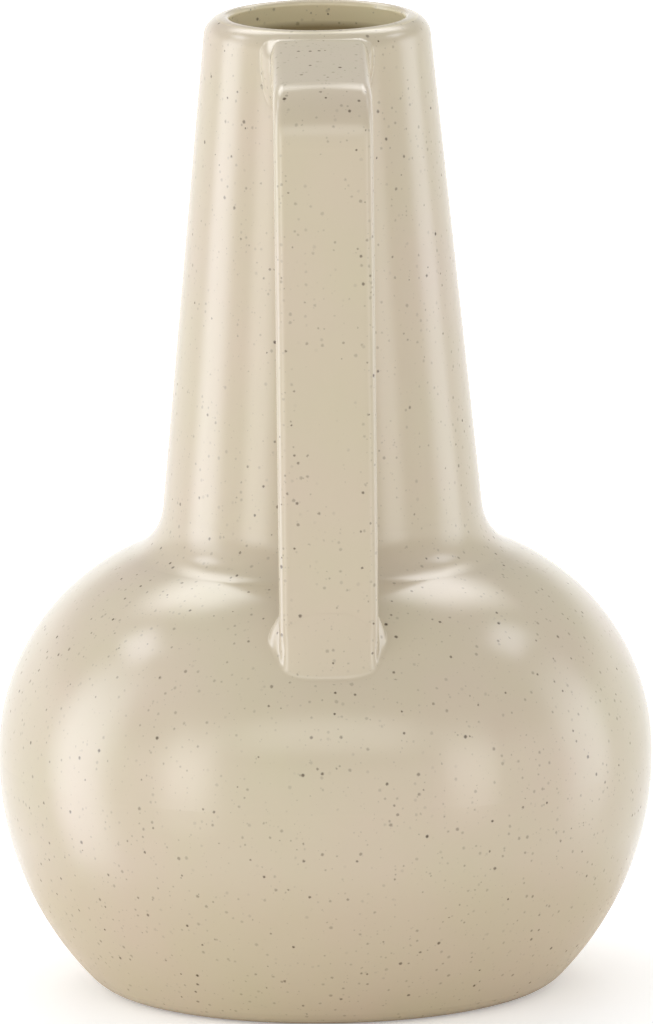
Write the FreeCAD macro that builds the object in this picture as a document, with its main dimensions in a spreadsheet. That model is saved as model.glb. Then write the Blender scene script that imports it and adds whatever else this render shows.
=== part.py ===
import FreeCAD, Part
import math
import os
import Sketcher

# Bottle vase with one strap handle, glazed stoneware, millimetres.
# The vase stands on z = 0 with its axis on +Z, and the handle is on the -Y side.
# A thrown globe carries a thrown neck on a flat cut in its shoulder. A pulled strap
# runs from under the lip down to the shoulder. Slip, the liquid clay that glues the
# pieces, fills the three corners between them.

# How a sketch numbers a curve's points and its own origin and axes.
START, END, CENTRE = range(1, 4)
Y_AXIS, X_AXIS = range(-2, 0)
ORIGIN = X_AXIS
FULL_TURN = 360.0
RIGHT_ANGLE = 90.0
UP = FreeCAD.Vector(0, 0, 1)

# Driving dimensions: name, value, what it measures. Angles are in degrees.
SIZES = [
    ("total_height", 240.0, "foot to the crest of the lip"),
    ("belly_radius", 80.0, "widest radius of the globe"),
    ("belly_height", 57.4, "height of the widest ring"),
    ("crown_radius", 25.5, "axis to the centre of the arc over the shoulder"),
    ("foot_inset", 30.0, "edge of the foot inside the widest ring"),
    ("heel_radius", 11.5, "arc from the foot into the belly"),
    ("foot_land", 6.0, "width of the bare ring that the vase stands on"),
    ("foot_recess", 1.5, "depth of the turned hollow inside that ring"),
    ("wall", 6.0, "wall of the globe and thickness of its floor"),
    ("neck_radius", 39.9, "outside of the neck where it stands on the shoulder"),
    ("neck_wall", 6.5, "wall of the neck there"),
    ("seat_margin", 0.74, "flat cut in the shoulder past the neck's outside"),
    ("neck_draft", 5.52, "lean of the neck's outside from upright"),
    ("lip_radius", 5.2, "outer rounding of the lip"),
    ("lip_inner_radius", 1.2, "inner rounding of the lip"),
    ("root_slip_radius", 13.6, "hollow curve where the neck meets the shoulder"),
    ("handle_inset", 12.0, "outer face of the handle inside the widest ring"),
    ("strap_width", 24.0, "strap across"),
    ("strap_thickness", 9.0, "strap through"),
    ("strap_edge", 2.8, "rounding of the strap's long edges"),
    ("strap_face", 90.0, "radius of the slight crown across the strap's outer face"),
    ("strap_bend", 14.5, "outer radius of the bend at the top"),
    ("strap_fall", 10.0, "fall of the strap's top face away from the lip"),
    ("strap_drop", 1.0, "strap's top face below the lip, measured at the lip's crest"),
    ("strap_bury", 1.0, "how far past the crest the strap runs on inside the lip"),
    ("strap_sink", 6.0, "how far the strap runs on below the shoulder's surface"),
    ("strap_slip", 3.0, "height and reach of the slip worked round the strap's ends"),
    ("slip_tuck", 0.3, "the top slip's upper side below the strap's top face"),
]

# Sizes that more than one sketch works out from the sheet, as the sheet writes them.
SHOULDER_RADIUS = "(Sizes.belly_radius - Sizes.crown_radius)"
FOOT_RADIUS = "(Sizes.belly_radius - Sizes.foot_inset)"
SEAT_EDGE = "(Sizes.neck_radius + Sizes.seat_margin)"
REACH = "(Sizes.belly_radius - Sizes.handle_inset)"
LEAN = "(Sizes.neck_draft * 1 deg)"
FALL = "(Sizes.strap_fall * 1 deg)"


def shoulder_height_at(radius):
    """Height of the shoulder's surface at a radius, as the sheet writes it."""
    return "(Sizes.belly_height + sqrt(%s ^ 2 - (%s - Sizes.crown_radius) ^ 2))" % (SHOULDER_RADIUS, radius)


SEAT_HEIGHT = shoulder_height_at(SEAT_EDGE)
CREST_RADIUS = (
    "(Sizes.neck_radius - (Sizes.total_height - Sizes.lip_radius + Sizes.lip_radius * sin" + LEAN
    + " - " + SEAT_HEIGHT + ") * tan" + LEAN + " - Sizes.lip_radius * cos" + LEAN + ")")

# Slip round the strap's foot, as shares of strap_slip: rise off the shoulder in front of
# the strap and behind it, reach at the back corners, and reach of the toe in front. It
# starts inside the clay and runs out to a thin edge on the strap.
FOOT_SLIP_SHARES = [
    (-1.0, -1.0, 1.0, 1.5), (0.05, 0.05, 0.7, 1.0), (0.4, 0.6, 0.3, 0.35), (0.9, 1.4, 0.04, 0.06)]

# Slip round the strap's top end, as shares of strap_slip: distance out along the strap
# from the neck, reach at the sides, and reach under the strap.
TOP_SLIP_SHARES = [(-2.2, 1.0, 2.6), (-0.6, 0.55, 1.5), (0.2, 0.22, 0.5), (1.1, 0.04, 0.06)]

# Reach of the top slip's upper end as a share of its reach at the sides, and the skin of
# slip left on the strap beside the toe as a share of strap_slip.
SHOULDERED_SHARE = 0.6
SKIN_SHARE = 0.04


def make_sheet(doc):
    """Write the driving dimensions into the sheet, one row each."""
    sheet = doc.addObject("Spreadsheet::Sheet", "Sizes")
    for row, (name, value, meaning) in enumerate(SIZES, start=1):
        sheet.set("A%d" % row, meaning)
        sheet.set("B%d" % row, str(value))
        sheet.setAlias("B%d" % row, name)
    doc.recompute()
    return sheet


def polar(centre, radius, degrees):
    """Point on a circle, in sketch coordinates."""
    angle = math.radians(degrees)
    return (centre[0] + radius * math.cos(angle), centre[1] + radius * math.sin(angle))


def plane_of(body, role):
    """Origin plane of a body."""
    return [plane for plane in body.Origin.OriginFeatures if plane.Role == role][0]


class Outline:
    """Closed or open chain of lines and arcs in one sketch, drawn end to start."""

    def __init__(self, body, name, role):
        self.sketch = body.newObject("Sketcher::SketchObject", name)
        self.sketch.AttachmentSupport = [(plane_of(body, role), "")]
        self.sketch.MapMode = "FlatFace"
        self.joints = []

    def line(self, start, end):
        first = FreeCAD.Vector(start[0], start[1], 0)
        last = FreeCAD.Vector(end[0], end[1], 0)
        index = self.sketch.addGeometry(Part.LineSegment(first, last), False)
        self.joints.append((index, START, END))
        return index

    def arc(self, centre, radius, first, last):
        """Arc from one angle to another, either way round."""
        circle = Part.Circle(FreeCAD.Vector(centre[0], centre[1], 0), UP, radius)
        low, high = math.radians(min(first, last)), math.radians(max(first, last))
        index = self.sketch.addGeometry(Part.ArcOfCircle(circle, low, high), False)
        self.joints.append((index, START, END) if first < last else (index, END, START))
        return index

    def join(self, smooth, closed=True):
        """Join each piece to the next; smooth names the pairs that are tangent."""
        count = len(self.joints)
        for place in range(count if closed else count - 1):
            one, _, one_end = self.joints[place]
            two, two_start, _ = self.joints[(place + 1) % count]
            kind = "Tangent" if (one, two) in smooth else "Coincident"
            self.sketch.addConstraint(Sketcher.Constraint(kind, one, one_end, two, two_start))

    def level(self, *lines):
        for index in lines:
            self.sketch.addConstraint(Sketcher.Constraint("Horizontal", index))

    def upright(self, *lines):
        for index in lines:
            self.sketch.addConstraint(Sketcher.Constraint("Vertical", index))

    def same_centre(self, one, two):
        self.sketch.addConstraint(Sketcher.Constraint("Coincident", one, CENTRE, two, CENTRE))

    def on_axis(self, index, point, axis):
        self.sketch.addConstraint(Sketcher.Constraint("PointOnObject", index, point, axis))

    def bind(self, name, expression, kind, *where):
        """Add a dimension and tie it to the sheet."""
        value = self.value_of(expression)
        index = self.sketch.addConstraint(Sketcher.Constraint(kind, *where, value))
        self.sketch.renameConstraint(index, name)
        self.sketch.setExpression("Constraints." + name, expression)

    def value_of(self, expression):
        result = self.sketch.evalExpression(expression)
        return getattr(result, "Value", result)

    def from_left(self, name, expression, index, point):
        """Distance of a point to the right of the sketch's origin."""
        self.bind(name, expression, "DistanceX", ORIGIN, START, index, point)

    def from_right(self, name, expression, index, point):
        """Distance of a point to the left of the sketch's origin."""
        self.bind(name, expression, "DistanceX", index, point, ORIGIN, START)

    def above(self, name, expression, index, point):
        self.bind(name, expression, "DistanceY", ORIGIN, START, index, point)

    def below(self, name, expression, index, point):
        self.bind(name, expression, "DistanceY", index, point, ORIGIN, START)

    def radius(self, name, expression, index):
        self.bind(name, expression, "Radius", index)


def spin(body, outline, name):
    """Turn an outline once round the vase's axis."""
    feature = body.newObject("PartDesign::Revolution", name)
    feature.Profile = outline.sketch
    feature.ReferenceAxis = (outline.sketch, ["V_Axis"])
    feature.Angle = FULL_TURN
    return feature


class Form:
    """Centres, tangent points and angles worked out from the driving dimensions."""

    def __init__(self, sheet):
        for name, _, _ in SIZES:
            setattr(self, name, float(sheet.get(name)))
        self.shoulder_radius = self.belly_radius - self.crown_radius
        self.foot_radius = self.belly_radius - self.foot_inset
        self.bore_radius = self.neck_radius - self.neck_wall
        self.reach = self.belly_radius - self.handle_inset
        self.heel = (self.foot_radius, self.heel_radius)
        out = self.belly_radius - self.foot_radius
        up = self.belly_height - self.heel_radius
        self.lower_radius = (out ** 2 + up ** 2 - self.heel_radius ** 2) / (2 * (out - self.heel_radius))
        self.lower = (self.belly_radius - self.lower_radius, self.belly_height)
        self.upper = (self.crown_radius, self.belly_height)
        self.seat_edge = self.neck_radius + self.seat_margin
        self.seat_height = self.shoulder_height(self.seat_edge)
        self.seat_angle = math.degrees(math.acos((self.seat_edge - self.crown_radius) / self.shoulder_radius))
        self.heel_angle = math.degrees(math.atan2(self.heel[1] - self.lower[1], self.heel[0] - self.lower[0]))
        draft = math.radians(self.neck_draft)
        lip_height = self.total_height - self.lip_radius
        self.lip_start = lip_height + self.lip_radius * math.sin(draft)
        self.lip_start_radius = self.neck_radius - (self.lip_start - self.seat_height) * math.tan(draft)
        self.crest_radius = self.lip_start_radius - self.lip_radius * math.cos(draft)
        self.lip = (self.crest_radius, lip_height)
        self.lip_inner = (self.crest_radius, self.total_height - self.lip_inner_radius)

    def shoulder_height(self, radius):
        """Height of the shoulder's surface at a radius."""
        return self.belly_height + math.sqrt(self.shoulder_radius ** 2 - (radius - self.crown_radius) ** 2)


def bind_outer_globe(outline, form, heel, lower, upper):
    """Dimensions of the globe's outside, shared by the globe and the vase's outline."""
    outline.from_left("foot_radius", FOOT_RADIUS, heel, CENTRE)
    outline.radius("heel_radius", "Sizes.heel_radius", heel)
    outline.above("belly_height", "Sizes.belly_height", lower, CENTRE)
    outline.above("shoulder_height", "Sizes.belly_height", upper, CENTRE)
    outline.from_left("belly_radius", "Sizes.belly_radius", lower, END)
    outline.radius("shoulder_radius", SHOULDER_RADIUS, upper)
    outline.from_left("seat_edge", SEAT_EDGE, upper, END)


def make_globe(doc, form):
    """Hollow globe with a turned foot and a flat cut in its shoulder."""
    body = doc.addObject("PartDesign::Body", "globe_body")
    outline = Outline(body, "globe_outline", "XZ_Plane")
    wall = form.wall
    recess = form.foot_radius - form.foot_land
    inner_upper = form.shoulder_radius - wall
    inner_angle = math.degrees(math.acos((form.bore_radius - form.upper[0]) / inner_upper))
    inner_top = polar(form.upper, inner_upper, inner_angle)
    base = outline.line((0, form.foot_recess), (recess, form.foot_recess))
    step = outline.line((recess, form.foot_recess), (recess, 0))
    land = outline.line((recess, 0), (form.foot_radius, 0))
    heel = outline.arc(form.heel, form.heel_radius, -RIGHT_ANGLE, form.heel_angle)
    lower = outline.arc(form.lower, form.lower_radius, form.heel_angle, 0)
    upper = outline.arc(form.upper, form.shoulder_radius, 0, form.seat_angle)
    seat = outline.line((form.seat_edge, form.seat_height), (form.bore_radius, form.seat_height))
    throat = outline.line((form.bore_radius, form.seat_height), inner_top)
    inner_shoulder = outline.arc(form.upper, inner_upper, inner_angle, 0)
    inner_belly = outline.arc(form.lower, form.lower_radius - wall, 0, form.heel_angle)
    inner_heel = outline.arc(form.heel, form.heel_radius - wall, form.heel_angle, -RIGHT_ANGLE)
    floor = outline.line((form.foot_radius, wall), (0, wall))
    axis = outline.line((0, wall), (0, form.foot_recess))
    outline.join({(land, heel), (heel, lower), (lower, upper), (inner_shoulder, inner_belly),
                  (inner_belly, inner_heel), (inner_heel, floor)})
    outline.level(base, land, seat, floor)
    outline.upright(step, throat, axis)
    outline.same_centre(inner_heel, heel)
    outline.same_centre(inner_belly, lower)
    outline.same_centre(inner_shoulder, upper)
    outline.on_axis(axis, END, Y_AXIS)
    outline.on_axis(land, START, X_AXIS)
    outline.above("foot_recess", "Sizes.foot_recess", base, START)
    outline.from_left("recess_radius", FOOT_RADIUS + " - Sizes.foot_land", step, END)
    bind_outer_globe(outline, form, heel, lower, upper)
    outline.from_left("bore_radius", "Sizes.neck_radius - Sizes.neck_wall", throat, START)
    outline.radius("inner_heel", "Sizes.heel_radius - Sizes.wall", inner_heel)
    spin(body, outline, "globe_thrown")
    return body


def make_neck(doc, form):
    """Tapered neck, thickest at its rounded lip."""
    body = doc.addObject("PartDesign::Body", "neck")
    outline = Outline(body, "neck_outline", "XZ_Plane")
    draft = form.neck_draft
    mouth = polar(form.lip_inner, form.lip_inner_radius, 2 * RIGHT_ANGLE)
    bottom = outline.line((form.bore_radius, form.seat_height), (form.neck_radius, form.seat_height))
    outside = outline.line((form.neck_radius, form.seat_height), (form.lip_start_radius, form.lip_start))
    lip = outline.arc(form.lip, form.lip_radius, draft, RIGHT_ANGLE)
    lip_inner = outline.arc(form.lip_inner, form.lip_inner_radius, RIGHT_ANGLE, 2 * RIGHT_ANGLE + draft)
    inside = outline.line(mouth, (form.bore_radius, form.seat_height))
    outline.join({(outside, lip), (lip, lip_inner), (lip_inner, inside)})
    outline.level(bottom)
    outline.above("seat_height", SEAT_HEIGHT, bottom, START)
    outline.from_left("bore_radius", "Sizes.neck_radius - Sizes.neck_wall", bottom, START)
    outline.from_left("neck_radius", "Sizes.neck_radius", bottom, END)
    bind_outer_neck(outline, outside, lip)
    outline.radius("lip_inner_radius", "Sizes.lip_inner_radius", lip_inner)
    spin(body, outline, "neck_thrown")
    return body


def bind_outer_neck(outline, outside, lip):
    """Dimensions of the neck's outside, shared by the neck and the vase's outline."""
    outline.bind("neck_lean", "90 + Sizes.neck_draft", "Angle", outside)
    outline.radius("lip_radius", "Sizes.lip_radius", lip)
    outline.above("total_height", "Sizes.total_height", lip, END)
    outline.sketch.addConstraint(Sketcher.Constraint("Vertical", lip, CENTRE, lip, END))


def make_root_slip(doc, form):
    """Ring of slip in the corner between the neck and the shoulder."""
    body = doc.addObject("PartDesign::Body", "neck_root_slip")
    outline = Outline(body, "root_slip_outline", "XZ_Plane")
    draft = math.radians(form.neck_draft)
    slope = math.tan(draft)
    curve = form.root_slip_radius
    reach = form.shoulder_radius + curve
    # The slip's centre is one slip radius off the neck's outside and off the shoulder.
    line_offset = form.neck_radius + curve / math.cos(draft) + slope * form.seat_height
    across = line_offset - form.upper[0]
    a = slope ** 2 + 1
    b = -2 * (slope * across + form.upper[1])
    c = across ** 2 + form.upper[1] ** 2 - reach ** 2
    centre_height = (-b + math.sqrt(b ** 2 - 4 * a * c)) / (2 * a)
    centre = (line_offset - slope * centre_height, centre_height)
    touch = math.degrees(math.atan2(centre[1] - form.upper[1], centre[0] - form.upper[0]))
    half_turn = 2 * RIGHT_ANGLE
    neck_end = polar(centre, curve, half_turn + form.neck_draft)
    shoulder = outline.arc(form.upper, form.shoulder_radius, form.seat_angle, touch)
    hollow = outline.arc(centre, curve, half_turn + touch, half_turn + form.neck_draft)
    side = outline.line(neck_end, (form.neck_radius, form.seat_height))
    ledge = outline.line((form.neck_radius, form.seat_height), (form.seat_edge, form.seat_height))
    outline.join({(shoulder, hollow), (hollow, side)})
    outline.level(ledge)
    outline.from_left("crown_radius", "Sizes.crown_radius", shoulder, CENTRE)
    outline.above("shoulder_height", "Sizes.belly_height", shoulder, CENTRE)
    outline.radius("shoulder_radius", SHOULDER_RADIUS, shoulder)
    outline.from_left("seat_edge", SEAT_EDGE, ledge, END)
    outline.from_left("neck_radius", "Sizes.neck_radius", ledge, START)
    outline.bind("neck_lean", "-90 + Sizes.neck_draft", "Angle", side)
    outline.radius("root_slip", "Sizes.root_slip_radius", hollow)
    spin(body, outline, "root_slip_turned")
    return body


def make_outside(doc, form):
    """Globe and neck as one filled solid, which trims the strap and its slip."""
    body = doc.addObject("PartDesign::Body", "outside_form")
    outline = Outline(body, "outside_outline", "XZ_Plane")
    base = outline.line((0, 0), (form.foot_radius, 0))
    heel = outline.arc(form.heel, form.heel_radius, -RIGHT_ANGLE, form.heel_angle)
    lower = outline.arc(form.lower, form.lower_radius, form.heel_angle, 0)
    upper = outline.arc(form.upper, form.shoulder_radius, 0, form.seat_angle)
    ledge = outline.line((form.seat_edge, form.seat_height), (form.neck_radius, form.seat_height))
    outside = outline.line((form.neck_radius, form.seat_height), (form.lip_start_radius, form.lip_start))
    lip = outline.arc(form.lip, form.lip_radius, form.neck_draft, RIGHT_ANGLE)
    top = outline.line((form.crest_radius, form.total_height), (0, form.total_height))
    axis = outline.line((0, form.total_height), (0, 0))
    outline.join({(base, heel), (heel, lower), (lower, upper), (outside, lip)})
    outline.level(base, ledge, top)
    outline.upright(axis)
    outline.on_axis(axis, END, Y_AXIS)
    outline.on_axis(base, START, X_AXIS)
    bind_outer_globe(outline, form, heel, lower, upper)
    outline.from_left("neck_radius", "Sizes.neck_radius", ledge, END)
    bind_outer_neck(outline, outside, lip)
    spin(body, outline, "outside_filled")
    return body


def make_strap(doc, form):
    """Pulled strap: up from the shoulder, over the bend and in to the lip."""
    body = doc.addObject("PartDesign::Body", "strap")
    half = form.strap_thickness / 2
    across = form.reach - half
    bend = form.strap_bend - half
    fall = math.radians(form.strap_fall)
    foot = form.shoulder_height(form.reach) - form.strap_sink
    end = form.crest_radius - form.strap_bury
    rise = form.strap_bury * math.tan(fall)
    end_height = form.total_height - form.strap_drop + rise - half / math.cos(fall)
    corner = end_height - (across - end) * math.tan(fall)
    turn = math.pi / 2 - fall
    bend_start = corner - bend * math.tan(turn / 2)
    centre = (bend - across, bend_start)
    bend_end = polar(centre, bend, RIGHT_ANGLE + form.strap_fall)
    path = Outline(body, "strap_path", "YZ_Plane")
    upright = path.line((-across, foot), (-across, bend_start))
    elbow = path.arc(centre, bend, 2 * RIGHT_ANGLE, RIGHT_ANGLE + form.strap_fall)
    run = path.line(bend_end, (-end, end_height))
    path.join({(upright, elbow), (elbow, run)}, closed=False)
    path.upright(upright)
    path.from_right("across", REACH + " - Sizes.strap_thickness / 2", upright, START)
    path.above("foot", shoulder_height_at(REACH) + " - Sizes.strap_sink", upright, START)
    path.radius("bend", "Sizes.strap_bend - Sizes.strap_thickness / 2", elbow)
    path.bind("fall", "Sizes.strap_fall", "Angle", run)
    path.from_right("end", CREST_RADIUS + " - Sizes.strap_bury", run, END)
    path.above("end_height", "Sizes.total_height - Sizes.strap_drop + Sizes.strap_bury * tan" + FALL
               + " - Sizes.strap_thickness / 2 / cos" + FALL, run, END)
    section = make_strap_section(body, form, across, half)
    doc.recompute()
    sweep = body.newObject("PartDesign::AdditivePipe", "strap_pulled")
    sweep.Profile = section.sketch
    sweep.Spine = (path.sketch, ["Edge1", "Edge2", "Edge3"])
    return body


def make_strap_section(body, form, across, half):
    """Rounded section across the strap, crowned outside, at the strap's foot."""
    section = Outline(body, "strap_section", "XY_Plane")
    section.sketch.setExpression("AttachmentOffset.Base.z", shoulder_height_at(REACH) + " - Sizes.strap_sink")
    edge = form.strap_edge
    side = form.strap_width / 2
    inner, outer = half - across, -half - across
    face = form.strap_face
    lean = math.degrees(math.asin((side - edge) / (face - edge)))
    corner_depth = outer + face - math.sqrt((face - edge) ** 2 - (side - edge) ** 2)
    front = section.arc((0, outer + face), face, -RIGHT_ANGLE - lean, lean - RIGHT_ANGLE)
    corner = section.arc((side - edge, corner_depth), edge, lean - RIGHT_ANGLE, 0)
    right = section.line((side, corner_depth), (side, inner - edge))
    second = section.arc((side - edge, inner - edge), edge, 0, RIGHT_ANGLE)
    back = section.line((side - edge, inner), (edge - side, inner))
    third = section.arc((edge - side, inner - edge), edge, RIGHT_ANGLE, 2 * RIGHT_ANGLE)
    left = section.line((-side, inner - edge), (-side, corner_depth))
    fourth = section.arc((edge - side, corner_depth), edge, 2 * RIGHT_ANGLE, 3 * RIGHT_ANGLE - lean)
    loop = [front, corner, right, second, back, third, left, fourth]
    section.join({(one, two) for one, two in zip(loop, loop[1:] + loop[:1])})
    section.level(back)
    section.on_axis(front, CENTRE, Y_AXIS)
    section.upright(right, left)
    for other in (second, third, fourth):
        section.sketch.addConstraint(Sketcher.Constraint("Equal", corner, other))
    section.radius("strap_edge", "Sizes.strap_edge", corner)
    section.from_left("right_side", "Sizes.strap_width / 2", right, START)
    section.from_right("left_side", "Sizes.strap_width / 2", left, START)
    section.radius("strap_face", "Sizes.strap_face", front)
    section.above("face_centre", "Sizes.strap_face - " + REACH, front, CENTRE)
    section.below("inner_face", REACH + " - Sizes.strap_thickness", back, START)
    return section


def make_handle(doc, strap, outside):
    """The strap, trimmed to lie on the neck and on the shoulder."""
    handle = doc.addObject("Part::Cut", "handle")
    handle.Base = strap
    handle.Tool = outside
    return handle


def collar_loop(origin, back, front_half, back_half, low, high, front_corner, back_corner, bulge):
    """Loop round the strap: narrow in front with a bulging edge there, wide behind."""
    across = FreeCAD.Vector(1, 0, 0)
    inset = 1 - math.sqrt(2) / 2

    def at(side, run):
        return origin + across * side + back * run

    def corner(side, first, middle, last):
        return Part.Arc(at(side * first[0], first[1]), at(side * middle[0], middle[1]),
                        at(side * last[0], last[1])).toShape()

    toe = (front_half - front_corner, low)
    toe_left, toe_right = at(-toe[0], low), at(toe[0], low)
    front_edge = Part.makeLine(toe_left, toe_right)
    if bulge:
        front_edge = Part.Arc(toe_left, at(0, low - bulge), toe_right).toShape()
    front_middle = (front_half - front_corner * inset, low + front_corner * inset)
    front = (front_half, low + front_corner)
    behind = (back_half, high - back_corner)
    back_middle = (back_half - back_corner * inset, high - back_corner * inset)
    heel = (back_half - back_corner, high)
    return Part.Wire([
        front_edge,
        corner(1, toe, front_middle, front),
        Part.makeLine(at(*front), at(*behind)),
        corner(1, behind, back_middle, heel),
        Part.makeLine(at(heel[0], high), at(-heel[0], high)),
        corner(-1, heel, back_middle, behind),
        Part.makeLine(at(-behind[0], behind[1]), at(-front[0], front[1])),
        corner(-1, front, front_middle, toe)])


def foot_slip_loops(form):
    """Loops round the strap's foot, fanned out from the toe, lowest first."""
    slip = form.strap_slip
    skin = SKIN_SHARE * slip
    half_width = form.strap_width / 2
    inner = form.reach - form.strap_thickness
    loops = []
    for front_rise, back_rise, reach, toe in FOOT_SLIP_SHARES:
        origin = FreeCAD.Vector(0, -form.reach, form.shoulder_height(form.reach) + front_rise * slip)
        behind = FreeCAD.Vector(0, -inner, form.shoulder_height(inner) + back_rise * slip)
        back = (behind - origin).normalize()
        loops.append(collar_loop(
            origin, back, half_width + skin, half_width + reach * slip, -skin,
            (behind - origin).Length + reach * slip, form.strap_edge + skin,
            form.strap_edge + reach * slip, toe * slip))
    return loops


def top_slip_loops(form):
    """Loops square to the strap's upper run, the one inside the neck first."""
    slip = form.strap_slip
    half_width = form.strap_width / 2
    fall = math.radians(form.strap_fall)
    down = FreeCAD.Vector(0, math.sin(fall), -math.cos(fall))
    loops = []
    for out_share, reach, under in TOP_SLIP_SHARES:
        out = form.lip_start_radius + out_share * slip
        top = form.total_height - form.strap_drop - (out - form.crest_radius) * math.tan(fall)
        upper_reach = SHOULDERED_SHARE * reach * slip
        loops.append(collar_loop(
            FreeCAD.Vector(0, -out, top), down, half_width + upper_reach, half_width + reach * slip,
            form.slip_tuck, form.strap_thickness + under * slip, form.strap_edge + upper_reach,
            form.strap_edge + reach * slip, 0))
    return loops


def make_strap_slips(doc, form, strap, outside):
    """Slip round the strap's two ends, trimmed to the strap and to the vase."""
    joined = doc.addObject("Part::Fuse", "strap_on_vase")
    joined.Base = strap
    joined.Tool = outside
    slips = []
    ends = [("handle_top_slip", top_slip_loops(form)), ("handle_foot_slip", foot_slip_loops(form))]
    for name, loops in ends:
        collar = doc.addObject("Part::Feature", name + "_collar")
        collar.Shape = Part.makeLoft(loops, True, True)
        slip = doc.addObject("Part::Cut", name)
        slip.Base = collar
        slip.Tool = joined
        slips.append(slip)
    return slips


def check(doc):
    """Stop if any object failed to build."""
    for item in doc.Objects:
        if "Invalid" in item.State or "Error" in item.State:
            raise RuntimeError("failed: " + item.Name + " " + str(item.State))


def write(parts):
    """Check each sub-part's solid and write its file."""
    os.makedirs("parts", exist_ok=True)
    for item in parts:
        shape = item.Shape
        if shape.isNull() or not shape.isValid() or len(shape.Solids) != 1:
            raise RuntimeError("bad solid: %s, %d solids" % (item.Label, len(shape.Solids)))
        box = shape.BoundBox
        print("%-18s %10.1f mm3  x %.2f %.2f  y %.2f %.2f  z %.2f %.2f" % (
            item.Label, shape.Volume, box.XMin, box.XMax, box.YMin, box.YMax, box.ZMin, box.ZMax))
        shape.exportStep("parts/" + item.Label + ".step")


def main():
    doc = FreeCAD.newDocument("bottle_vase")
    sheet = make_sheet(doc)
    form = Form(sheet)
    globe = make_globe(doc, form)
    neck = make_neck(doc, form)
    root_slip = make_root_slip(doc, form)
    outside = make_outside(doc, form)
    strap = make_strap(doc, form)
    handle = make_handle(doc, strap, outside)
    doc.recompute()
    slips = make_strap_slips(doc, form, strap, outside)
    doc.recompute()
    parts = [globe, neck, root_slip, handle] + slips
    for item in parts:
        item.Label = item.Name
        item.Placement = FreeCAD.Placement()
    doc.recompute()
    check(doc)
    write(parts)


main()
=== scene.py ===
import math

import bpy
from mathutils import Matrix, Vector


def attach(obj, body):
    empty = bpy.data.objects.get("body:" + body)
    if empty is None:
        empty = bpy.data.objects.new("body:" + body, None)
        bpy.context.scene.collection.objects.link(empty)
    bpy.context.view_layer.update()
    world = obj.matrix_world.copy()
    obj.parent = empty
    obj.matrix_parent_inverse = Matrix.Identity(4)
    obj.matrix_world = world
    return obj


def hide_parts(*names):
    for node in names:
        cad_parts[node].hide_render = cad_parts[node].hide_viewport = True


# Bottle vase in speckled sand glaze, on a pale studio floor. Metres.
# The vase stands on z = 0 with its axis on +Z, and its handle faces -Y.

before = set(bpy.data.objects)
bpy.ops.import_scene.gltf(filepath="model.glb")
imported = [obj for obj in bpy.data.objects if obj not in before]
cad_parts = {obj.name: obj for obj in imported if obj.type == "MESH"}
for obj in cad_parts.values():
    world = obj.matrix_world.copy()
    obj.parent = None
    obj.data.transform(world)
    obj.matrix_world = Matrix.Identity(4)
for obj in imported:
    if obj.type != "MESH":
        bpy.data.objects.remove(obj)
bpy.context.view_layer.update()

# The photograph's view
PHOTO_HEIGHT = 1024
PIXELS_PER_METRE = 4094.0
CAMERA_DISTANCE = 6.0
CAMERA_LIFT = math.radians(10.7)
CAMERA_SWING = math.radians(-1.08)
CAMERA_ROLL = 0.0115
SENSOR = 36.0
AIM_HEIGHT = 0.120
AIM_PIXEL = (322.5, 499.4)
FRAME_CENTRE = (326.5, 512.0)

# Lamps are placed round this point and face it.
LAMP_CENTRE = Vector((0.0, 0.0, 0.10))
# Tints of the lamps
COOL = (0.95, 0.99, 1.10)
PLAIN = (1.0, 1.0, 1.0)
# Name, azimuth from the front with + to the right, lift above the horizon, distance,
# width, height, glow, where a glow of 1 is white, and tint.
LAMPS = [
    ("lamp_left", -96, 3, 1.3, 0.98, 2.40, 2.15, COOL),
    ("lamp_left_high", -107, 43, 1.3, 0.58, 0.40, 2.4, COOL),
    ("lamp_right", 103, 4, 1.3, 0.86, 1.70, 1.2, COOL),
    ("lamp_right_high", 107, 43, 1.3, 0.58, 0.40, 1.8, COOL),
    ("lamp_front_left", -50, 5, 1.6, 0.90, 1.80, 1.8, PLAIN),
    ("lamp_front_right", 51, 5, 1.6, 0.80, 1.70, 1.3, PLAIN),
    ("lamp_front_top", 0, 28, 1.6, 3.30, 0.84, 1.3, PLAIN),
    ("lamp_back_left", -152, 53, 1.3, 0.95, 0.78, 3.0, PLAIN),
    ("lamp_back_right", 152, 53, 1.3, 0.95, 0.78, 3.0, PLAIN),
]
# Share of each lamp's half width, from its edge, over which it fades
LAMP_FADE = 0.8
# A soft box's power to each square metre of its face that makes its glow 1
LAMP_POWER = 4.0

# Glow of the surroundings at the horizon and overhead, on the vase and in its gloss
ROOM_GLOW = (0.56, 0.42)
ROOM_IN_GLOSS = (1.2, 0.45)
# Sine of the lift at which the room starts to darken and ends
ROOM_FADE = (0.12, 0.40)
# Share of the horizon's glow that gloss finds below it, and the sines between which it falls
ROOM_BELOW = 0.95
ROOM_BELOW_FADE = (-0.22, -0.45)

FLOOR_SIZE = 12.0
FLOOR_COLOUR = (0.93, 0.93, 0.93)
# The floor's colour in the light that it throws back up at the vase
FLOOR_BOUNCE = (0.93, 0.87, 0.78)
# Share of white that the floor adds for the camera, near the vase and beyond its shadow
FLOOR_GLOW_NEAR = 0.30
FLOOR_GLOW_FAR = 1.0
SHADOW_REACH = (0.06, 0.40)
# Distances from the vase's axis between which the floor fades out of the gloss
FLOOR_IN_GLOSS = (0.10, 0.15)

# The vase's surfaces that the handle meets
BELLY_HEIGHT = 0.0574
CROWN_RADIUS = 0.0255
SHOULDER_RADIUS = 0.0545
NECK_RADIUS = 0.0399
NECK_SEAT = 0.10975
NECK_LEAN = math.radians(5.52)
LIP_RADIUS = 0.0052
LIP_CREST = 0.240

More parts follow.
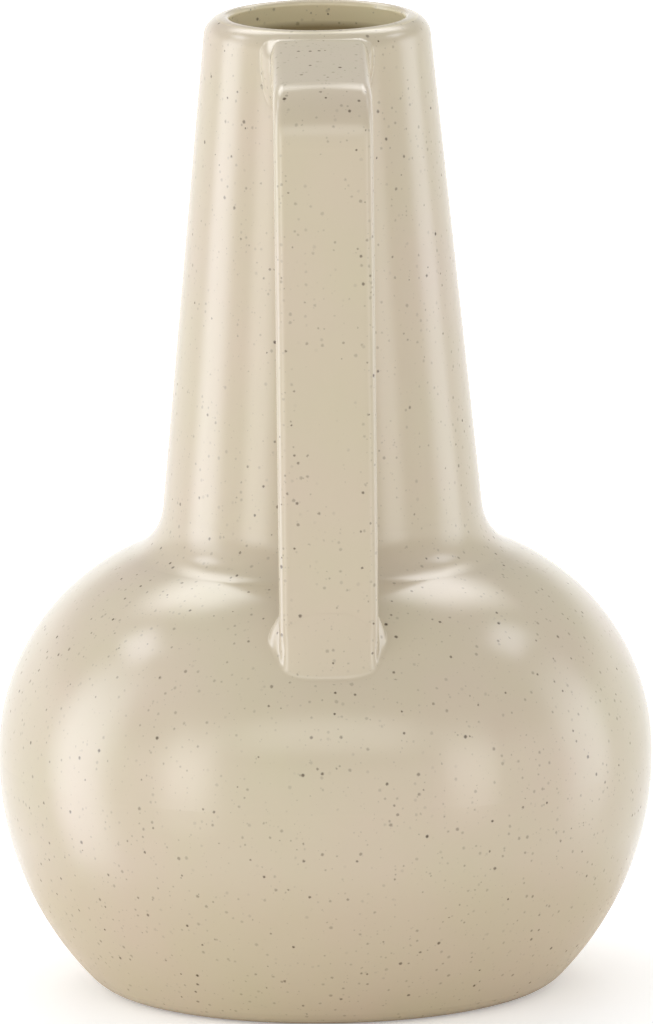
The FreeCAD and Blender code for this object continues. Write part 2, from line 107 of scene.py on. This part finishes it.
# The strap's section, its faces and its fall at the top
STRAP_HALF_WIDTH = 0.012
STRAP_THICKNESS = 0.009
STRAP_EDGE = 0.0028
STRAP_FACE = 0.090
STRAP_REACH = 0.068
STRAP_TOP = 0.2390
STRAP_FALL = math.radians(10.0)

# Worked slip: reach on the vase beside the strap at its left and right, reach under the
# strap's top end at left and right, and rise along the strap
FOOT_EAR = (0.0024, 0.0018)
FOOT_RISE = 0.0050
TOE_REACH = 0.0016
TOE_RISE = 0.0130
TOE_HALF_WIDTH = 0.0119
TOE_SQUARENESS = 3.2
# Where the toe's hollow lies, as shares of its reach and rise
TOE_HOLLOW = (0.2, 0.5)
TOP_EAR = (0.0028, 0.0013)
TOP_UNDER = (0.0085, 0.0045)
TOP_RISE = 0.0060
# Fullness of the ears, where 0 is hollow and 0.5 flat, and the roll of the slip's edge
SLIP_FULLNESS = 0.60
SLIP_ROLL = 0.0005
SLIP_EDGE = 0.0002
SLIP_SKIN = 0.00003
SLIP_ROOT = 0.0008
SLIP_STEPS = 12
ROLL_STEPS = 5
# Spacing of the points along the strap's flat sides, and the angle above which an edge is sharp
SIDE_SPACING = 0.0005
SHARP_ANGLE = math.radians(50.0)
# Shares of the strap's thickness over which the ears grow at the foot and at the top
FOOT_EAR_GROWTH = (0.0, 0.8)
TOP_EAR_GROWTH = (-0.06, 0.4)
# Shares of the strap's edge rounding over which the toe ends
TOE_END = (0.25, 0.75)
# Farthest that the strap's end can lie from the lip's crest, and the halvings that find it
TOP_SEARCH = 0.02
SEARCH_STEPS = 40

# Glaze colours, linear
SAND = (0.640, 0.566, 0.428)
SAND_PINK = (0.662, 0.552, 0.438)
SAND_GREEN = (0.626, 0.566, 0.400)
# Painted light and painted shade, as shares of the glaze's colour: lighter just inside the mouth's rim,
# and darker further down inside
MOUTH_PAINTED_LIGHT = (1.32, 1.33, 1.16)
INSIDE_PAINTED_SHADE = (0.58, 0.52, 0.37)
# Heights between which each of the two sets in, from the top down
MOUTH_FADE = (0.2400, 0.2391)
INSIDE_FADE = (0.2351, 0.2333)
# Radius of the middle of the wall at the lip's crest. The inside is nearer the axis.
MOUTH_EDGE = 0.0246
SPECK_BROWN = (0.110, 0.075, 0.045)
# Slides the speck pattern
SPECK_SHIFT = (0.137, 0.2119, 0.0)
# How much denser the larger specks lie on the strap
STRAP_CROWDING = 1.65
# Layers of specks: cells to the metre, size in cells, share of the cells that have one, how
# much denser they lie on the strap, depth of colour, and how uneven that depth is
SPECK_LAYERS = [
    (430.0, 0.222, 0.37, STRAP_CROWDING, 1.0, 0.8),
    (520.0, 0.27, 0.5, STRAP_CROWDING, 0.42, 0.8),
    (900.0, 0.25, 0.4, 1.0, 0.3, 1.0),
]
# How far a speck's outline wanders and how finely, its size's spread and least share, and how
# steeply its edge falls
SPECK_WANDER = 0.00030
SPECK_WANDER_SCALE = 2600.0
SPECK_SPREAD = (0.6, 0.55)
SPECK_EDGE = 1.9
# Where specks crowd: its scale, and its spread and least share
CROWD_SCALE = 55.0
CROWD_SPREAD = (0.9, 0.55)
# Clouds of pink and green, the veil of plain sand over them, and how strongly each shows
CLOUD_SCALE = 32.0
CLOUD_SPREAD = (2.2, -0.6)
VEIL_SCALE = 75.0
VEIL_SHARE = 0.7
# Slow waves of the glaze's surface
WAVE_SCALE = 60.0
WAVE_STRENGTH = 0.15
WAVE_HEIGHT = 0.0006
BARE_CLAY = (0.560, 0.430, 0.300)
# Height below which the foot's ring is bare
BARE_HEIGHT = 0.0006
GLAZE_ROUGHNESS = 0.15
BARE_ROUGHER = 0.6
GLAZE_IOR = 1.6


def aim_camera():
    """Long lens in front of the handle, a little above the lip."""
    swing, lift = CAMERA_SWING, CAMERA_LIFT
    level = math.cos(lift)
    back = Vector((math.sin(swing) * level, -math.cos(swing) * level, math.sin(lift)))
    level_right = Vector((math.cos(swing), math.sin(swing), 0.0))
    level_up = back.cross(level_right)
    right = level_right * math.cos(CAMERA_ROLL) - level_up * math.sin(CAMERA_ROLL)
    up = level_right * math.sin(CAMERA_ROLL) + level_up * math.cos(CAMERA_ROLL)
    aim = Vector((0.0, 0.0, AIM_HEIGHT))
    aim += right * (FRAME_CENTRE[0] - AIM_PIXEL[0]) / PIXELS_PER_METRE
    aim -= up * (FRAME_CENTRE[1] - AIM_PIXEL[1]) / PIXELS_PER_METRE
    data = bpy.data.cameras.new("camera")
    data.sensor_fit = "VERTICAL"
    data.sensor_height = SENSOR
    data.lens = SENSOR * PIXELS_PER_METRE * CAMERA_DISTANCE / PHOTO_HEIGHT
    data.clip_end = 100.0
    camera = bpy.data.objects.new("camera", data)
    turn = Matrix((right, up, back)).transposed().to_4x4()
    camera.matrix_world = Matrix.Translation(aim + back * CAMERA_DISTANCE) @ turn
    bpy.context.scene.collection.objects.link(camera)
    bpy.context.scene.camera = camera


def hang_lamp(name, azimuth, lift, distance, width, height, glow, tint):
    """Soft box that faces the vase."""
    side, rise = math.radians(azimuth), math.radians(lift)
    level = math.cos(rise)
    out = Vector((math.sin(side) * level, -math.cos(side) * level, math.sin(rise)))
    data = bpy.data.lights.new(name, "AREA")
    data.shape = "RECTANGLE"
    data.size, data.size_y = width, height
    data.energy = LAMP_POWER * width * height * glow
    data.use_nodes = True
    tree = data.node_tree
    tree.nodes.clear()
    face = add_node(tree, "ShaderNodeTexCoord").outputs["UV"]
    across = add_node(tree, "ShaderNodeSeparateXYZ", Vector=face)
    strength = 1.0
    for axis in ("X", "Y"):
        centred = math_node(tree, "MULTIPLY_ADD", across.outputs[axis], 2.0, -1.0)
        share = math_node(tree, "ABSOLUTE", centred)
        soft = fade(tree, share, (1.0, 1.0 - LAMP_FADE), smooth=True)
        strength = math_node(tree, "MULTIPLY", soft, strength)
    light = add_node(tree, "ShaderNodeEmission", Color=(*tint, 1.0), Strength=strength)
    end_tree(tree, "ShaderNodeOutputLight", light)
    lamp = bpy.data.objects.new(name, data)
    lamp.location = LAMP_CENTRE + out * distance
    lamp.rotation_euler = out.to_track_quat("Z", "Y").to_euler()
    bpy.context.scene.collection.objects.link(lamp)


def new_material(name):
    """Material and its empty node tree."""
    material = bpy.data.materials.new(name)
    material.use_nodes = True
    material.node_tree.nodes.clear()
    return material, material.node_tree


def feed(tree, socket, value):
    """Link another node's output to a socket, or set the socket's own value."""
    if isinstance(value, bpy.types.NodeSocket):
        tree.links.new(value, socket)
    else:
        socket.default_value = value


def add_node(tree, kind, settings=None, **inputs):
    """Node with its settings, and values or links for its named inputs."""
    node = tree.nodes.new(kind)
    for key, value in (settings or {}).items():
        setattr(node, key, value)
    for key, value in inputs.items():
        feed(tree, node.inputs[key.replace("_", " ")], value)
    return node


def light_world():
    """Pale surroundings, darker overhead, white where the camera looks past the floor."""
    world = bpy.data.worlds.new("studio")
    world.use_nodes = True
    tree = world.node_tree
    tree.nodes.clear()
    path = add_node(tree, "ShaderNodeLightPath")
    way = add_node(tree, "ShaderNodeTexCoord").outputs["Generated"]
    lift = add_node(tree, "ShaderNodeSeparateXYZ", Vector=way).outputs["Z"]
    glow = fade(tree, lift, ROOM_FADE, ROOM_GLOW, smooth=True)
    in_gloss = fade(tree, lift, ROOM_FADE, ROOM_IN_GLOSS, smooth=True)
    below = fade(tree, lift, ROOM_BELOW_FADE, (1.0, ROOM_BELOW), smooth=True)
    extra = math_node(tree, "SUBTRACT", math_node(tree, "MULTIPLY", in_gloss, below), glow)
    glow = math_node(tree, "MULTIPLY_ADD", path.outputs["Is Glossy Ray"], extra, glow)
    glow = math_node(tree, "MAXIMUM", glow, path.outputs["Is Camera Ray"])
    sky = add_node(tree, "ShaderNodeBackground", Color=(1.0, 1.0, 1.0, 1.0), Strength=glow)
    end_tree(tree, "ShaderNodeOutputWorld", sky)
    bpy.context.scene.world = world


def math_node(tree, operation, first, second=0.0, third=0.0, clamp=False):
    """Result of a Math node on values or sockets."""
    node = add_node(tree, "ShaderNodeMath", {"operation": operation, "use_clamp": clamp})
    for socket, value in zip(node.inputs, (first, second, third)):
        feed(tree, socket, value)
    return node.outputs[0]


def mix_colour(tree, factor, one, two, blend="MIX"):
    """Colour output of a Mix node on colours or sockets."""
    node = add_node(tree, "ShaderNodeMix", {"data_type": "RGBA", "blend_type": blend})
    for name, value in (("Factor_Float", factor), ("A_Color", one), ("B_Color", two)):
        socket = [item for item in node.inputs if item.identifier == name][0]
        feed(tree, socket, (*value, 1.0) if isinstance(value, tuple) else value)
    return [item for item in node.outputs if item.identifier == "Result_Color"][0]


def vector_node(tree, operation, *values):
    """Vector Math node on values or sockets."""
    node = add_node(tree, "ShaderNodeVectorMath", {"operation": operation})
    for socket, value in zip(node.inputs, values):
        feed(tree, socket, value)
    return node


def fade(tree, value, limits, results=(0.0, 1.0), smooth=False):
    """Output of a Map Range node that goes from the first result to the second."""
    kind = {"interpolation_type": "SMOOTHSTEP" if smooth else "LINEAR"}
    node = add_node(tree, "ShaderNodeMapRange", kind, Value=value, From_Min=limits[0],
                    From_Max=limits[1], To_Min=results[0], To_Max=results[1])
    return node.outputs["Result"]


def end_tree(tree, kind, shader):
    """Lead a shader into the tree's output node."""
    tree.links.new(shader.outputs[0], add_node(tree, kind).inputs["Surface"])


def new_group(name, inputs, outputs):
    """Shader node group with named sockets, given as rows of name and kind."""
    group = bpy.data.node_groups.new(name, "ShaderNodeTree")
    for side, rows in (("INPUT", inputs), ("OUTPUT", outputs)):
        for label, kind in rows:
            group.interface.new_socket(name=label, in_out=side, socket_type=kind)
    return group, group.nodes.new("NodeGroupInput"), group.nodes.new("NodeGroupOutput")


def speck_group():
    """Iron specks that burn through the glaze: one mask of dots of mixed size and depth."""
    numbers = ("Spacing", "Size", "Share", "Depth", "Evenness")
    group, source, result = new_group(
        "iron_specks", [("Vector", "NodeSocketVector")] + [(name, "NodeSocketFloat") for name in numbers],
        [("Mask", "NodeSocketFloat")])
    place = source.outputs["Vector"]
    wobble = add_node(group, "ShaderNodeTexNoise", Vector=place, Scale=SPECK_WANDER_SCALE, Detail=1.0)
    centred = vector_node(group, "SUBTRACT", wobble.outputs["Color"], (0.5, 0.5, 0.5))
    small = vector_node(group, "SCALE", centred.outputs[0])
    small.inputs["Scale"].default_value = SPECK_WANDER
    moved = vector_node(group, "ADD", place, small.outputs[0]).outputs[0]
    cells = add_node(group, "ShaderNodeTexVoronoi", Vector=moved, Scale=source.outputs["Spacing"])
    parts = add_node(group, "ShaderNodeSeparateColor", Color=cells.outputs["Color"])
    reach = math_node(group, "MULTIPLY", parts.outputs[0], SPECK_SPREAD[0])
    reach = math_node(group, "ADD", reach, SPECK_SPREAD[1])
    reach = math_node(group, "MULTIPLY", reach, source.outputs["Size"])
    edge = math_node(group, "DIVIDE", cells.outputs["Distance"], reach)
    dot = math_node(group, "SUBTRACT", 1.0, edge)
    dot = math_node(group, "MULTIPLY", dot, SPECK_EDGE, clamp=True)
    crowd = add_node(group, "ShaderNodeTexNoise", Vector=place, Scale=CROWD_SCALE, Detail=1.0)
    crowd = math_node(group, "MULTIPLY_ADD", crowd.outputs["Fac"], *CROWD_SPREAD)
    share = math_node(group, "MULTIPLY", source.outputs["Share"], crowd)
    chosen = math_node(group, "LESS_THAN", parts.outputs[1], share)
    strength = math_node(group, "POWER", parts.outputs[2], source.outputs["Evenness"])
    strength = math_node(group, "MULTIPLY", strength, source.outputs["Depth"])
    mask = math_node(group, "MULTIPLY", math_node(group, "MULTIPLY", dot, chosen), strength)
    group.links.new(mask, result.inputs["Mask"])
    return group


def inside_share(tree, place):
    """How far a point lies inside the mouth's rim, and down the neck, each from 0 to 1."""
    height = add_node(tree, "ShaderNodeSeparateXYZ", Vector=place).outputs["Z"]
    flat = vector_node(tree, "MULTIPLY", place, (1.0, 1.0, 0.0))
    radius = vector_node(tree, "LENGTH", flat.outputs[0]).outputs["Value"]
    slope = math.tan(NECK_LEAN)
    wall = math_node(tree, "MULTIPLY_ADD", height, -slope, MOUTH_EDGE + LIP_CREST * slope)
    within = math_node(tree, "LESS_THAN", radius, wall)
    shares = [fade(tree, height, limits) for limits in (MOUTH_FADE, INSIDE_FADE)]
    return [math_node(tree, "MULTIPLY", within, share) for share in shares]


def speck_mask(tree, place, specks, on_strap):
    """Darkest of the layers of specks."""
    moved = add_node(tree, "ShaderNodeMapping", Vector=place, Location=SPECK_SHIFT).outputs[0]
    mask = None
    for spacing, size, share, denser, depth, evenness in SPECK_LAYERS:
        share *= denser if on_strap else 1.0
        layer = add_node(tree, "ShaderNodeGroup", {"node_tree": specks}, Vector=moved, Spacing=spacing,
                         Size=size, Share=share, Depth=depth, Evenness=evenness).outputs[0]
        mask = layer if mask is None else math_node(tree, "MAXIMUM", mask, layer)
    return mask


def glaze_tone(tree, place):
    """Sand in soft clouds of pink and green, with painted light just inside the mouth's rim and painted
    shade deeper inside.
    """
    clouds = add_node(tree, "ShaderNodeTexNoise", Vector=place, Scale=CLOUD_SCALE, Detail=3.0)
    tint = math_node(tree, "MULTIPLY_ADD", clouds.outputs["Fac"], *CLOUD_SPREAD, clamp=True)
    veil = add_node(tree, "ShaderNodeTexNoise", Vector=place, Scale=VEIL_SCALE, Detail=2.0)
    tone = mix_colour(tree, tint, SAND_GREEN, SAND_PINK)
    tone = mix_colour(tree, math_node(tree, "MULTIPLY", veil.outputs["Fac"], VEIL_SHARE), tone, SAND)
    within, deep = inside_share(tree, place)
    # Painted light lightens the glaze just inside the mouth's rim, and painted shade darkens it further
    # down inside the neck.
    painted_tones = (MOUTH_PAINTED_LIGHT, INSIDE_PAINTED_SHADE)
    rim_painted_light, deep_painted_shade = [mix_colour(tree, 1.0, tone, painted_tone, "MULTIPLY") for painted_tone in painted_tones]
    return mix_colour(tree, deep, mix_colour(tree, within, tone, rim_painted_light), deep_painted_shade)


def glaze_material(name, specks, on_strap=False):
    """Glossy sand glaze with iron specks, bare clay on the foot's standing ring."""
    material, tree = new_material(name)
    place = add_node(tree, "ShaderNodeTexCoord").outputs["Object"]
    mask = speck_mask(tree, place, specks, on_strap)
    colour = mix_colour(tree, mask, glaze_tone(tree, place), SPECK_BROWN)
    height = add_node(tree, "ShaderNodeSeparateXYZ", Vector=place).outputs["Z"]
    foot = math_node(tree, "LESS_THAN", height, BARE_HEIGHT)
    colour = mix_colour(tree, foot, colour, BARE_CLAY)
    rough = math_node(tree, "MULTIPLY_ADD", foot, BARE_ROUGHER, GLAZE_ROUGHNESS)
    waves = add_node(tree, "ShaderNodeTexNoise", Vector=place, Scale=WAVE_SCALE, Detail=2.0)
    bump = add_node(tree, "ShaderNodeBump", Strength=WAVE_STRENGTH, Distance=WAVE_HEIGHT,
                    Height=waves.outputs["Fac"])
    shader = add_node(tree, "ShaderNodeBsdfPrincipled", Base_Color=colour, Roughness=rough,
                      Normal=bump.outputs["Normal"], IOR=GLAZE_IOR)
    end_tree(tree, "ShaderNodeOutputMaterial", shader)
    return material


def floor_material():
    """Paper that shows the vase's shadow, glows for the camera and is in gloss only nearby."""
    material, tree = new_material("floor_paper")
    path = add_node(tree, "ShaderNodeLightPath")
    seen = path.outputs["Is Camera Ray"]
    tone = mix_colour(tree, seen, FLOOR_BOUNCE, FLOOR_COLOUR)
    paper = add_node(tree, "ShaderNodeBsdfDiffuse", Color=tone)
    place = add_node(tree, "ShaderNodeTexCoord").outputs["Object"]
    away = vector_node(tree, "LENGTH", place).outputs["Value"]
    glow = fade(tree, away, SHADOW_REACH, (FLOOR_GLOW_NEAR, FLOOR_GLOW_FAR), smooth=True)
    white = add_node(tree, "ShaderNodeEmission", Strength=math_node(tree, "MULTIPLY", glow, seen))
    both = add_node(tree, "ShaderNodeAddShader")
    far = fade(tree, away, FLOOR_IN_GLOSS)
    hidden = math_node(tree, "MULTIPLY", path.outputs["Is Glossy Ray"], far)
    surface = add_node(tree, "ShaderNodeMixShader", Fac=hidden)
    clear = add_node(tree, "ShaderNodeBsdfTransparent")
    for node, socket in ((paper, both.inputs[0]), (white, both.inputs[1]),
                         (both, surface.inputs[1]), (clear, surface.inputs[2])):
        tree.links.new(node.outputs[0], socket)
    end_tree(tree, "ShaderNodeOutputMaterial", surface)
    return material


def lay_floor():
    """Pale floor that keeps the vase's shadow."""
    bpy.ops.mesh.primitive_plane_add(size=FLOOR_SIZE, location=(0.0, 0.0, 0.0))
    floor = bpy.context.object
    floor.name = "floor"
    floor.data.materials.append(floor_material())
    floor.visible_shadow = False


def smooth_step(low, high, value):
    share = min(max((value - low) / (high - low), 0.0), 1.0)
    return share * share * (3.0 - 2.0 * share)


def between(pair, share):
    return pair[0] + (pair[1] - pair[0]) * share


def shoulder_height(radius):
    return BELLY_HEIGHT + math.sqrt(SHOULDER_RADIUS ** 2 - (radius - CROWN_RADIUS) ** 2)


def neck_radius_at(height):
    """Outside of the neck, and of the lip's rounding above it."""
    centre = LIP_CREST - LIP_RADIUS
    start = centre + LIP_RADIUS * math.sin(NECK_LEAN)
    if height <= start:
        return NECK_RADIUS - (height - NECK_SEAT) * math.tan(NECK_LEAN)
    crest = NECK_RADIUS - (start - NECK_SEAT) * math.tan(NECK_LEAN) - LIP_RADIUS * math.cos(NECK_LEAN)
    return crest + math.sqrt(max(LIP_RADIUS ** 2 - (height - centre) ** 2, 0.0))


def strap_section():
    """Points round the strap: across, depth behind its outer face, and the way out from each."""
    side = STRAP_HALF_WIDTH - STRAP_EDGE
    front = STRAP_FACE - math.sqrt((STRAP_FACE - STRAP_EDGE) ** 2 - side ** 2)
    lean = math.degrees(math.asin(side / (STRAP_FACE - STRAP_EDGE)))
    back = STRAP_THICKNESS - STRAP_EDGE
    corners = [(side, front, lean - 90.0, 0.0), (side, back, 0.0, 90.0), (-side, back, 90.0, 180.0),
               (-side, front, 180.0, 270.0 - lean)]
    points = []
    for across, depth, first, last in corners:
        for step in range(SLIP_STEPS + 1):
            angle = math.radians(between((first, last), step / SLIP_STEPS))
            way = Vector((math.cos(angle), math.sin(angle)))
            points.append((Vector((across, depth)) + way * STRAP_EDGE, way))
    ring = []
    for (start, way), (end, next_way) in zip(points, points[1:] + points[:1]):
        ring.append((start, way))
        pieces = int((end - start).length / SIDE_SPACING)
        for step in range(1, pieces):
            spot = start.lerp(end, step / pieces)
            if way.y < 0.0 and abs(way.x) < abs(way.y):
                spot.y = STRAP_FACE - math.sqrt(STRAP_FACE ** 2 - spot.x ** 2)
            ring.append((spot, way.lerp(next_way, step / pieces).normalized()))
    return ring


def curve_points(start, middle, end, steps):
    """Points along a curve that leaves start and reaches end in line with middle."""
    points = []
    for step in range(steps + 1):
        gone = step / steps
        left = 1 - gone
        points.append(start * left ** 2 + middle * 2 * gone * left + end * gone ** 2)
    return points


def slip_skin(name, node, stations):
    """Ring of slip: from each station's strap end, over its hollow, to its edge on the vase."""
    vertices, rings = [], []
    for top, middle, crease, foot, root in stations:
        back = middle - crease
        near = crease + back.normalized() * min((foot - crease).length, back.length / 2)
        hollow = curve_points(top, middle, near, SLIP_STEPS)
        points = hollow + curve_points(near, crease, foot, ROLL_STEPS)[1:] + [root]
        rings.append(range(len(vertices), len(vertices) + len(points)))
        vertices += points
    faces = []
    for one, two in zip(rings, rings[1:] + rings[:1]):
        for place in range(len(one)):
            after = (place + 1) % len(one)
            faces.append((one[place], one[after], two[after], two[place]))
    mesh = bpy.data.meshes.new(name)
    mesh.from_pydata(vertices, [], faces)
    piece = bpy.data.objects.new(name, mesh)
    bpy.context.scene.collection.objects.link(piece)
    bpy.ops.object.select_all(action="DESELECT")
    piece.select_set(True)
    bpy.context.view_layer.objects.active = piece
    bpy.ops.object.mode_set(mode="EDIT")
    bpy.ops.mesh.select_all(action="SELECT")
    bpy.ops.mesh.normals_make_consistent(inside=False)
    bpy.ops.object.mode_set(mode="OBJECT")
    bpy.ops.object.shade_smooth_by_angle(angle=SHARP_ANGLE)
    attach(piece, "root")
    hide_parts(node)
    return piece


def foot_slip():
    """Slip behind and beside the strap's foot, and the toe pressed out in front."""
    lift = Vector((0.0, 0.0, 1.0))

    def on_shoulder(spot):
        return Vector((spot.x, spot.y, shoulder_height(spot.to_2d().length)))

    stations = []
    for point, way in strap_section():
        share = point.x / (2 * STRAP_HALF_WIDTH) + 0.5
        depth = point.y / STRAP_THICKNESS
        ear = smooth_step(*FOOT_EAR_GROWTH, depth)
        front = 1.0 - smooth_step(*TOE_END, point.y / STRAP_EDGE)
        toe = front * max(0.0, 1.0 - (abs(point.x) / TOE_HALF_WIDTH) ** TOE_SQUARENESS)
        reach = SLIP_EDGE + ear * between(FOOT_EAR, share) + toe * TOE_REACH
        rise = SLIP_EDGE + ear * FOOT_RISE + math.sqrt(toe) * TOE_RISE
        out = Vector((way.x, way.y, 0.0))
        spot = on_shoulder(Vector((point.x, point.y - STRAP_REACH, 0.0)))
        full = (out * reach + lift * rise) * SLIP_FULLNESS * ear
        hollow = out * toe * TOE_REACH * TOE_HOLLOW[0]
        hollow += lift * math.sqrt(toe) * TOE_RISE * TOE_HOLLOW[1]
        skin = out * SLIP_SKIN
        stations.append((
            spot + lift * rise + skin, spot + hollow + full + skin,
            on_shoulder(spot + out * reach) + lift * SLIP_SKIN,
            on_shoulder(spot + out * (reach + SLIP_ROLL)) + lift * SLIP_SKIN,
            spot - (out + lift) * SLIP_ROOT))
    return slip_skin("foot_slip", "handle_foot_slip", stations)


def top_slip():
    """Slip beside and under the strap where it meets the neck below the lip."""
    along = Vector((0.0, -math.cos(STRAP_FALL), -math.sin(STRAP_FALL)))
    down = Vector((0.0, math.sin(STRAP_FALL), -math.cos(STRAP_FALL)))
    crest = neck_radius_at(LIP_CREST)

    def on_neck(spot):
        grow = neck_radius_at(spot.z) / spot.to_2d().length
        return Vector((spot.x * grow, spot.y * grow, spot.z))

    stations = []
    for point, way in strap_section():
        share = point.x / (2 * STRAP_HALF_WIDTH) + 0.5
        depth = point.y / STRAP_THICKNESS
        side = smooth_step(*TOP_EAR_GROWTH, depth)
        under = smooth_step(STRAP_THICKNESS - STRAP_EDGE, STRAP_THICKNESS, point.y)
        reach = SLIP_EDGE + side * between(TOP_EAR, share)
        drop = SLIP_EDGE + under * between(TOP_UNDER, share)
        rise = SLIP_EDGE + side * TOP_RISE
        start = Vector((point.x, -crest, STRAP_TOP)) + down * point.y
        near, far = 0.0, TOP_SEARCH
        for _ in range(SEARCH_STEPS):
            middle = (near + far) / 2
            spot = start + along * middle
            if spot.to_2d().length < neck_radius_at(spot.z):
                near = middle
            else:
                far = middle
        out = Vector((way.x, 0.0, 0.0)) + down * way.y
        spread = Vector((way.x * reach, 0.0, 0.0)) + down * way.y * (drop if way.y > 0.0 else reach)
        full = (spread + along * rise) * SLIP_FULLNESS * side
        skin = out * SLIP_SKIN
        stations.append((
            spot + along * rise + skin, spot + full + skin, on_neck(spot + spread) + along * SLIP_SKIN,
            on_neck(spot + spread + out * SLIP_ROLL) + along * SLIP_SKIN,
            spot - (out + along) * SLIP_ROOT))
    return slip_skin("top_slip", "handle_top_slip", stations)


def dress(node, material):
    """Give a CAD node the material in every slot."""
    for slot in node.material_slots:
        slot.material = material
    if not node.material_slots:
        node.data.materials.append(material)


def main():
    bpy.ops.object.select_all(action="DESELECT")
    bpy.context.scene.view_settings.view_transform = "Standard"
    aim_camera()
    light_world()
    for row in LAMPS:
        hang_lamp(*row)
    specks = speck_group()
    glaze = glaze_material("sand_glaze", specks)
    strap_glaze = glaze_material("strap_glaze", specks, on_strap=True)
    for name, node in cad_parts.items():
        dress(node, strap_glaze if name == "handle" else glaze)
    for piece in (foot_slip(), top_slip()):
        dress(piece, glaze)
    lay_floor()


main()
